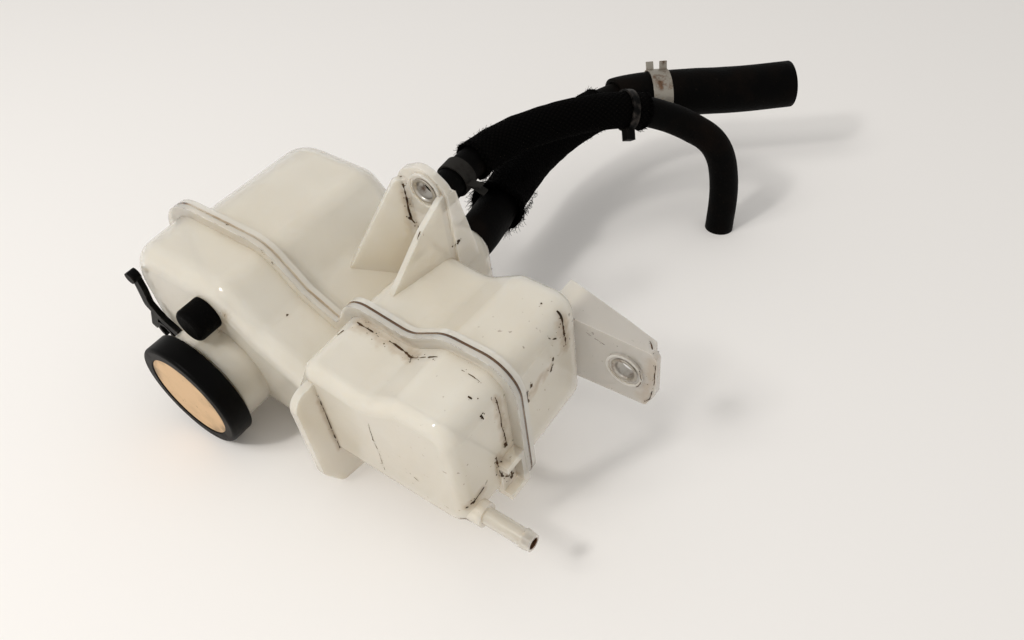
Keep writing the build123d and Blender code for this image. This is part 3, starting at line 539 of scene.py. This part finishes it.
def spring_steel(name, clean, rust_share, blackened=0.0):
    """Bare steel, dull and spotted with rust; what sits near the tank may be blackened."""
    material, tree, shader = start_material(name, Specular_IOR_Level=0.2)
    place = object_place(tree)
    rust = ramp_of(tree, noise_of(tree, place, 120.0, 6.0, 0.65), 0.62 - rust_share, 0.82 - rust_share)
    corner = use_group(tree, RECESS_GRIME_AND_SHADE, {"Reach": 0.004, "Patch scale": 140.0}, "Mask")
    rust = math_of(tree, "MAXIMUM", rust, corner)
    tone = ramp_of(tree, noise_of(tree, place, 260.0, 3.0), 0.3, 0.7)
    colour = mix_of(tree, rust, clean, mix_of(tree, tone, DARK_RUST, PALE_RUST))
    coated = times(tree, ramp_of(tree, coordinate(tree, place, "Y"), *COATED_NEAR), blackened)
    tree.links.new(mix_of(tree, coated, colour, STEEL_COATING), shader.inputs["Base Color"])
    dull = math_of(tree, "MAXIMUM", times(tree, rust, 0.9), coated)
    tree.links.new(math_of(tree, "SUBTRACT", 1.0, dull), shader.inputs["Metallic"])
    tree.links.new(plus(tree, times(tree, dull, 0.4), 0.36), shader.inputs["Roughness"])
    add_bump(tree, shader, plus(tree, rust, noise_of(tree, place, 700.0)), 0.00012)
    return material


def hose_rubber(name, dusty):
    """Black moulded rubber with the print of its wrapping cloth and a brown film of dust."""
    material, tree, shader = start_material(name, Specular_IOR_Level=0.04)
    place = object_place(tree)
    film = ramp_of(tree, noise_of(tree, place, 38.0, 5.0, 0.6), 0.42, 0.75)
    colour = mix_of(tree, times(tree, film, dusty), RUBBER_BLACK, RUBBER_FILM)
    scuffs = use_group(tree, SPECKS, {"Scale": 240.0, "Threshold": 0.71}, "Mask")
    colour = mix_of(tree, times(tree, scuffs, 0.25), colour, RUBBER_SCUFF)
    tree.links.new(colour, shader.inputs["Base Color"])
    tree.links.new(plus(tree, times(tree, film, 0.2), 0.58), shader.inputs["Roughness"])
    weave = add_node(tree, "ShaderNodeTexVoronoi", {"Vector": place, "Scale": 900.0}).outputs["Distance"]
    add_bump(tree, shader, plus(tree, times(tree, weave, 0.25), noise_of(tree, place, 110.0, 4.0)), 0.0005)
    return material


def woven_yarn():
    """Black braided yarn: two sets of yarns cross along and round the sleeve."""
    material, tree, shader = start_material("woven_yarn", Roughness=0.95, Specular_IOR_Level=0.03)
    lie = add_node(tree, "ShaderNodeAttribute", attribute_name="lie").outputs["Vector"]
    along, turned = coordinate(tree, lie, "X"), coordinate(tree, lie, "Y")
    rising = math_of(tree, "SINE", plus(tree, along, turned))
    falling = math_of(tree, "SINE", math_of(tree, "SUBTRACT", along, turned))
    lump = math_of(tree, "ABSOLUTE", times(tree, rising, falling))
    lump = plus(tree, lump, times(tree, noise_of(tree, object_place(tree), 500.0, 4.0), 0.5))
    colour = mix_of(tree, ramp_of(tree, lump, 0.2, 1.2), YARN_DARK, YARN_PALE)
    tree.links.new(colour, shader.inputs["Base Color"])
    add_bump(tree, shader, lump, 0.0006)
    return material


FINISHES = {
    "tank_plastic": milky_plastic(),
    "cap_plastic": black_plastic("cap_plastic", 0.7, 0.42),
    "clip_plastic": black_plastic("clip_plastic", 0.5, 0.42),
    "cartridge_plastic": black_plastic("cartridge_plastic", 0.1, 0.42),
    "label": label_card(),
    "bush_steel": spring_steel("bush_steel", BUSH_STEEL, 0.10),
    "valve_steel": spring_steel("valve_steel", VALVE_STEEL, 0.0),
    "clamp_steel": spring_steel("clamp_steel", CLAMP_STEEL, 0.14, 0.97),
    "seal_rubber": hose_rubber("seal_rubber", 0.2),
    "blank_rubber": hose_rubber("blank_rubber", 0.15),
    "hose_rubber": hose_rubber("hose_rubber", 0.55),
    "sleeve_fabric": woven_yarn(),
}
CAKED_DIRT = caked_dirt()
SEAM_FILLING = seam_filling()
SLOT_OF = {part["node"]: part["material_slot"] for part in frame["record"]["subparts"]}
BODY_OF = {node: body for body, nodes in frame["record"]["behaviour"]["bodies"].items() for node in nodes}

# Rigid pieces

SHELLS = ("upper_shell", "lower_shell")
# Valve springs: the body each one sits on, the body that presses on it, and whether its seat is its outer end
SPRINGS = {
    "pressure_spring": ("cartridge", "pressure_valve", True),
    "vacuum_spring": ("pressure_valve", "vacuum_valve", False),
}
# Width of the eased edges of each rigid node
EASED_EDGES = {
    "upper_shell": 0.0006, "lower_shell": 0.0006, "ear_bush": 0.0003, "tab_bush": 0.0003, "cap_shell": 0.0007,
    "cap_label_disc": 0.0, "cartridge_head": 0.0003, "cartridge_cup": 0.0003, "cartridge_oring": 0.0,
    "cap_gasket": 0.0, "pressure_plate": 0.0003, "pressure_seal": 0.0, "pressure_spring": 0.0, "vacuum_valve": 0.0002,
    "vacuum_spring": 0.0, "blanking_cap": 0.0006, "hose_clip": 0.0005, "outlet_clamp": 0.0002, "vent_clamp": 0.0002,
    "band_clamp": 0.0002, "cable_tie": 0.0003,
}


def add_piece(name, data, node, replaced=()):
    """Puts a finished mesh in the scene with the finish and body of a CAD node."""
    piece = bpy.data.objects.new(name, data)
    bpy.context.scene.collection.objects.link(piece)
    data.materials.clear()
    data.materials.append(FINISHES[SLOT_OF[node]])
    if node not in SPRINGS:
        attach(piece, BODY_OF[node])
    if replaced:
        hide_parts(*replaced)
    return piece


def mesh_of(shape, name):
    """Mesh made from a bmesh, which is then freed."""
    mesh = bpy.data.meshes.new(name)
    shape.to_mesh(mesh)
    shape.free()
    return mesh


def pack_groove(shape):
    """Lifts the floor of the seam groove to just below its rim, where dirt has filled it."""
    moves = {}
    for face in shape.faces:
        depths = [abs(vert.co.dot(SEAM_NORMAL) + SEAM_OFFSET) for vert in face.verts]
        if max(depths) < GROOVE_HALF and abs(face.normal.dot(SEAM_NORMAL)) < 0.1:
            face.material_index = 1
            for vert in face.verts:
                moves[vert] = moves.get(vert, Vector()) + face.normal
    for vert, way in moves.items():
        vert.co += way.normalized() * GROOVE_FILL


def eased_copy(node, edge):
    """Merged copy of a rigid CAD node with its hard edges eased, which stands for the node."""
    shape = bmesh.new()
    shape.from_mesh(frame["nodes"][node].data)
    bmesh.ops.remove_doubles(shape, verts=shape.verts, dist=MERGE_GAP)
    if node in SHELLS:
        pack_groove(shape)
    bmesh.ops.dissolve_limit(
        shape, angle_limit=math.radians(FLAT_WITHIN), verts=shape.verts, edges=shape.edges, delimit={"MATERIAL"})
    for face in shape.faces:
        face.smooth = True
    for seam in shape.edges:
        seam.smooth = seam.calc_face_angle(0.0) < math.radians(SHARP_FROM)
    mesh = mesh_of(shape, node + "_eased")
    piece = add_piece(node + "_eased", mesh, node, [node])
    if node in SHELLS:
        mesh.materials.append(SEAM_FILLING)
    if edge:
        ease = piece.modifiers.new("eased edges", "BEVEL")
        ease.width = edge
        ease.segments = 2
        ease.limit_method = "ANGLE"
        ease.angle_limit = math.radians(SHARP_FROM)
    lie = piece.modifiers.new("flat faces stay flat", "WEIGHTED_NORMAL")
    lie.keep_sharp = not edge


def let_shorten(spring, seat, follower, seat_is_outside):
    """Bakes the placement of a valve spring's copy into its mesh; the bodies and seat end it is given are not used.
    """
    piece = bpy.data.objects[spring + "_eased"]
    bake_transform(piece)


for rigid_node, rigid_edge in EASED_EDGES.items():
    eased_copy(rigid_node, rigid_edge)
for spring_node, spring_bodies in SPRINGS.items():
    let_shorten(spring_node, *spring_bodies)


# Caked dirt


def add_crumb(shape, place, side, ahead, lengths):
    """Irregular flat crumb of dirt on a surface; lengths are its radii round the crumb."""
    verts = []
    for index, length in enumerate(lengths):
        angle = 2 * math.pi * index / len(lengths)
        verts.append(shape.verts.new(place + (side * math.sin(angle) + ahead * math.cos(angle)) * length))
    shape.faces.new(verts)


def add_ribbon(shape, surface, start, run, width, wander):
    """Broken ribbon of dirt along a run over a surface; width and wander are in millimetres."""
    steps = max(2, round(run.length / RIBBON_STEP))
    before = None
    for step in range(steps + 1):
        spot = start + run * step / steps
        spot = spot + noise.noise_vector(spot * 130) * wander * 0.00035
        place, normal, _, _ = surface.find_nearest(spot)
        side = normal.cross(run).normalized()
        share = 0.55 + 1.1 * noise.noise(place * 420)
        half = side * max(0.0, min(1.0, share)) * width * 0.0005
        lifted = place + normal * DIRT_RISE
        pair = (shape.verts.new(lifted - half), shape.verts.new(lifted + half)) if share > 0.12 else None
        if pair and before:
            shape.faces.new((*before, *reversed(pair)))
        before = pair


def scatter_crumbs(shape, surface, start, run, width, wander, chance):
    """Crumbs of dirt on a surface on both sides of a run."""
    for _ in range(round(run.length * CRUMBS_PER_METRE) + CRUMBS_AT_LEAST):
        spot = start + run * chance.uniform(-0.05, 1.05)
        spot = spot + Vector([chance.gauss(0, 0.0006 + wander * 0.00025) for _ in range(3)])
        place, normal, _, _ = surface.find_nearest(spot)
        side = normal.cross(run).normalized()
        size = width * chance.uniform(0.00012, 0.00036)
        add_crumb(shape, place + normal * DIRT_RISE, side, side.cross(normal),
                  [size * chance.uniform(0.5, 1.3) for _ in range(CRUMB_CORNERS)])


def add_dirt(node, marks):
    """Ribbons and crumbs of caked dirt lying on a shell along its marks."""
    shape = bmesh.new()
    shape.from_mesh(frame["nodes"][node].data)
    surface = BVHTree.FromBMesh(shape)
    shape.clear()
    chance = random.Random(node)
    for points, width, wander in marks:
        for start, end in zip(points, points[1:]):
            start, end = on_tank(*start), on_tank(*end)
            add_ribbon(shape, surface, start, end - start, width, wander)
            scatter_crumbs(shape, surface, start, end - start, width, wander, chance)
    bmesh.ops.delete(shape, geom=[vert for vert in shape.verts if not vert.link_faces], context="VERTS")
    mesh = mesh_of(shape, node + "_dirt")
    add_piece(node + "_dirt", mesh, node)
    mesh.materials[0] = CAKED_DIRT


add_dirt("upper_shell", [mark for mark in TANK_MARKS if mark[0][0][1] < 0])
add_dirt("lower_shell", [mark for mark in TANK_MARKS if mark[0][0][1] > 0])


# Hoses and their sleeves


def line_of(route):
    """Points along the smooth NURBS curve whose control points are a route."""
    curve = bpy.data.curves.new("line", "CURVE")
    curve.dimensions = "3D"
    spline = curve.splines.new("NURBS")
    spline.points.add(len(route) - 1)
    for point, place in zip(spline.points, route):
        point.co = (*place, 1)
    spline.order_u = 3
    spline.use_endpoint_u = True
    spline.resolution_u = POINTS_PER_RUN
    holder = bpy.data.objects.new("line", curve)
    bpy.context.scene.collection.objects.link(holder)
    bpy.context.view_layer.update()
    mesh = bpy.data.meshes.new_from_object(holder.evaluated_get(bpy.context.evaluated_depsgraph_get()))
    points = [vertex.co.copy() for vertex in mesh.vertices]
    bpy.data.meshes.remove(mesh)
    bpy.data.objects.remove(holder)
    bpy.data.curves.remove(curve)
    return points


def frames_along(line):
    """Place, heading and two directions across, without twist, at each point of a line."""
    frames = []
    across = None
    for index, place in enumerate(line):
        heading = (line[min(index + 1, len(line) - 1)] - line[max(index - 1, 0)]).normalized()
        if across is None:
            across = heading.orthogonal()
        across = (across - heading * across.dot(heading)).normalized()
        frames.append((place, heading, across, heading.cross(across)))
    return frames


def outward(across, up, angle):
    return across * math.cos(angle) + up * math.sin(angle)


def add_tube(shape, frames, sides, radius_at):
    """Adds an open tube to a bmesh and marks how it lies: distance along it and angle round it at each corner."""
    lie = shape.loops.layers.float_vector.get("lie") or shape.loops.layers.float_vector.new("lie")
    rings = []
    reaches = []
    reach = 0.0
    for index, (place, _, across, up) in enumerate(frames):
        if index:
            reach += (place - frames[index - 1][0]).length
        reaches.append(reach)
        ring = []
        for side in range(sides):
            angle = 2 * math.pi * side / sides
            ring.append(shape.verts.new(place + outward(across, up, angle) * radius_at(index, angle)))
        rings.append(ring)
    for row in range(len(rings) - 1):
        for side in range(sides):
            after = (side + 1) % sides
            face = shape.faces.new((rings[row][side], rings[row][after], rings[row + 1][after], rings[row + 1][side]))
            face.smooth = True
            corners = ((row, side), (row, side + 1), (row + 1, side + 1), (row + 1, side))
            for loop, (at_row, at_side) in zip(face.loops, corners):
                loop[lie] = (reaches[at_row] * WEAVE_ALONG, 2 * math.pi * at_side / sides * WEAVE_ROUND, 0)
    return rings


def finish_tube(shape, name, node, wall):
    """Piece that stands for a hose or sleeve node, with its wall to the inside."""
    piece = add_piece(name, mesh_of(shape, name), node, [node])
    skin = piece.modifiers.new("wall", "SOLIDIFY")
    skin.thickness = wall
    skin.offset = -1
    return piece


def add_hose(name, route, radius, wall, node):
    """Hollow rubber hose with the slight unevenness of a hand-wrapped one; returns it and its line."""
    line = line_of(route)
    frames = frames_along(line)

    def radius_at(index, angle):
        place, _, across, up = frames[index]
        return radius - HOSE_UNEVENNESS * abs(noise.noise((place + outward(across, up, angle) * radius) * 70))

    shape = bmesh.new()
    add_tube(shape, frames, HOSE_SIDES, radius_at)
    return finish_tube(shape, name, node, wall), line


def add_strand(shape, start, bend, tip):
    """One loose yarn end, curved from start to tip."""
    shares = [step / YARN_STEPS for step in range(YARN_STEPS + 1)]
    line = [start * (1 - t) ** 2 + bend * 2 * t * (1 - t) + tip * t ** 2 for t in shares]
    add_tube(shape, frames_along(line), YARN_SIDES, lambda index, angle: YARN_R * (1 - 0.1 * index))


def add_frays(shape, frames, at_end, radius, fray, chance):
    """Loose yarn ends round one end of a sleeve, and fuzz on the stretch before it."""
    place, heading, across, up = frames[-1 if at_end else 0]
    ahead = heading if at_end else -heading
    for _ in range(fray.count):
        out = outward(across, up, chance.uniform(0, 2 * math.pi))
        sideways = ahead.cross(out)
        length = fray.reach * chance.uniform(0.35, 1.0)
        start = place + out * radius * chance.uniform(0.92, 1.0) - ahead * 0.003
        bend = start + (ahead * chance.uniform(0.5, 1.0) + out * chance.uniform(0.0, 0.4)) * length
        turn = ahead * chance.uniform(-0.2, 0.6) + out * chance.uniform(-0.2, 0.5)
        turn = turn + sideways * chance.uniform(-0.6, 0.6)
        add_strand(shape, start, bend, bend + turn * length * 0.8)
    for _ in range(fray.count):
        index = chance.randrange(len(frames) // 5)
        place, heading, across, up = frames[-1 - index if at_end else index]
        out = outward(across, up, chance.uniform(0, 2 * math.pi))
        sideways = heading.cross(out) * chance.uniform(-1, 1) + heading * chance.uniform(-1, 1)
        start = place + out * (radius - 0.0008)
        bend = start + out * fray.reach * chance.uniform(0.1, 0.35) + sideways * fray.reach * 0.1
        add_strand(shape, start, bend, bend + sideways * fray.reach * 0.25)


def add_sleeve(name, line, runs, radius, node, start_fray, end_fray):
    """Woven sleeve on part of a hose's line, with flared ragged ends; returns it and its loose yarns."""
    first, last = [round(run * POINTS_PER_RUN) for run in runs]
    frames = frames_along(line[first:last + 1])
    rows = len(frames) - 1
    chance = random.Random(node)

    def radius_at(index, angle):
        place, _, across, up = frames[index]
        wrinkle = noise.noise((place + outward(across, up, angle) * radius) * 130) * SLEEVE_WRINKLE
        flare = start_fray.flare * max(0, 1 - index / FLARED_ROWS) ** 2
        flare += end_fray.flare * max(0, 1 - (rows - index) / FLARED_ROWS) ** 2
        return radius + wrinkle + flare * (1 + 0.5 * noise.noise(Vector((angle, index, 5))))

    tube = bmesh.new()
    rings = add_tube(tube, frames, SLEEVE_SIDES, radius_at)
    yarns = bmesh.new()
    ends = ((False, rings[0], -frames[0][1], start_fray), (True, rings[-1], frames[-1][1], end_fray))
    for at_end, ring, heading, fray in ends:
        for vert in ring:
            vert.co += heading * fray.reach * 0.3 * noise.noise(vert.co * 400)
        add_frays(yarns, frames, at_end, radius + fray.flare, fray, chance)
    yarn_mesh = mesh_of(yarns, name + "_frays")
    return [finish_tube(tube, name, node, SLEEVE_WALL), add_piece(name + "_frays", yarn_mesh, node)]


outlet_hose, outlet_line = add_hose("outlet_hose_rubber", OUTLET_ROUTE, OUTLET_HOSE_R, HOSE_WALL, "outlet_hose")
vent_hose, vent_line = add_hose("vent_hose_rubber", VENT_ROUTE, VENT_HOSE_R, HOSE_WALL, "vent_hose")
end_hose, _ = add_hose("end_hose_rubber", END_ROUTE, END_HOSE_R, END_HOSE_WALL, "end_hose")
outlet_sleeve = add_sleeve("outlet_sleeve_yarn", outlet_line, OUTLET_SLEEVED, OUTLET_SLEEVE_R, "outlet_sleeve",
                           Fray(420, 0.0075, 0.0020), Fray(120, 0.0040, 0.0006))
vent_sleeve = add_sleeve("vent_sleeve_yarn", vent_line, VENT_SLEEVED, VENT_SLEEVE_R, "vent_sleeve",
                         Fray(140, 0.0045, 0.0008), Fray(140, 0.0040, 0.0006))

# Stage: pale floor, soft key light from the filler side with a small lamp below it, even surrounding light

FLOOR_HALF = 6.0
FLOOR_TONE = (0.88, 0.855, 0.825, 1)
LIGHT_AIM = Vector((0.0, 0.10, 0.05))
LIGHT_TONE = (1.0, 0.98, 0.955)
WORLD_TONE = (1.0, 0.99, 0.975, 1)
WORLD_STRENGTH = 0.65

floor_shape = bmesh.new()
bmesh.ops.create_grid(floor_shape, x_segments=1, y_segments=1, size=FLOOR_HALF)
floor_mesh = mesh_of(floor_shape, "floor")
floor = bpy.data.objects.new("floor", floor_mesh)
bpy.context.scene.collection.objects.link(floor)
floor_material, _, _ = start_material("pale_floor", Base_Color=FLOOR_TONE, Roughness=0.7, Specular_IOR_Level=0.15)
floor_mesh.materials.append(floor_material)


def add_light(name, place, size, watts, mirrored):
    """Square area light at a place seen from the tank, aimed at it and mirrored in its gloss or not."""
    data = bpy.data.lights.new(name, "AREA")
    data.size = size
    data.energy = watts
    data.color = LIGHT_TONE
    light = bpy.data.objects.new(name, data)
    light.location = LIGHT_AIM + Vector(place)
    light.rotation_euler = (-Vector(place)).to_track_quat("-Z", "Y").to_euler()
    light.visible_glossy = mirrored
    bpy.context.scene.collection.objects.link(light)


add_light("key", (-0.58, -1.25, 1.45), size=0.55, watts=8.5, mirrored=False)
add_light("lamp", (-0.22, -1.04, 0.91), size=0.14, watts=5.5, mirrored=True)

world = bpy.data.worlds.new("studio")
world.use_nodes = True
world.node_tree.nodes["Background"].inputs["Color"].default_value = WORLD_TONE
world.node_tree.nodes["Background"].inputs["Strength"].default_value = WORLD_STRENGTH
bpy.context.scene.world = world

camera_data = bpy.data.cameras.new("camera")
camera_data.lens = CAMERA_LENS
camera_data.sensor_width = SENSOR_WIDTH
camera_data.clip_start = 0.01
camera = bpy.data.objects.new("camera", camera_data)
camera.location = CAMERA_PLACE
camera.rotation_euler = Vector(CAMERA_LOOK).to_track_quat("-Z", "Y").to_euler()
bpy.context.scene.collection.objects.link(camera)
bpy.context.scene.camera = camera
bpy.context.scene.view_settings.view_transform = "Standard"
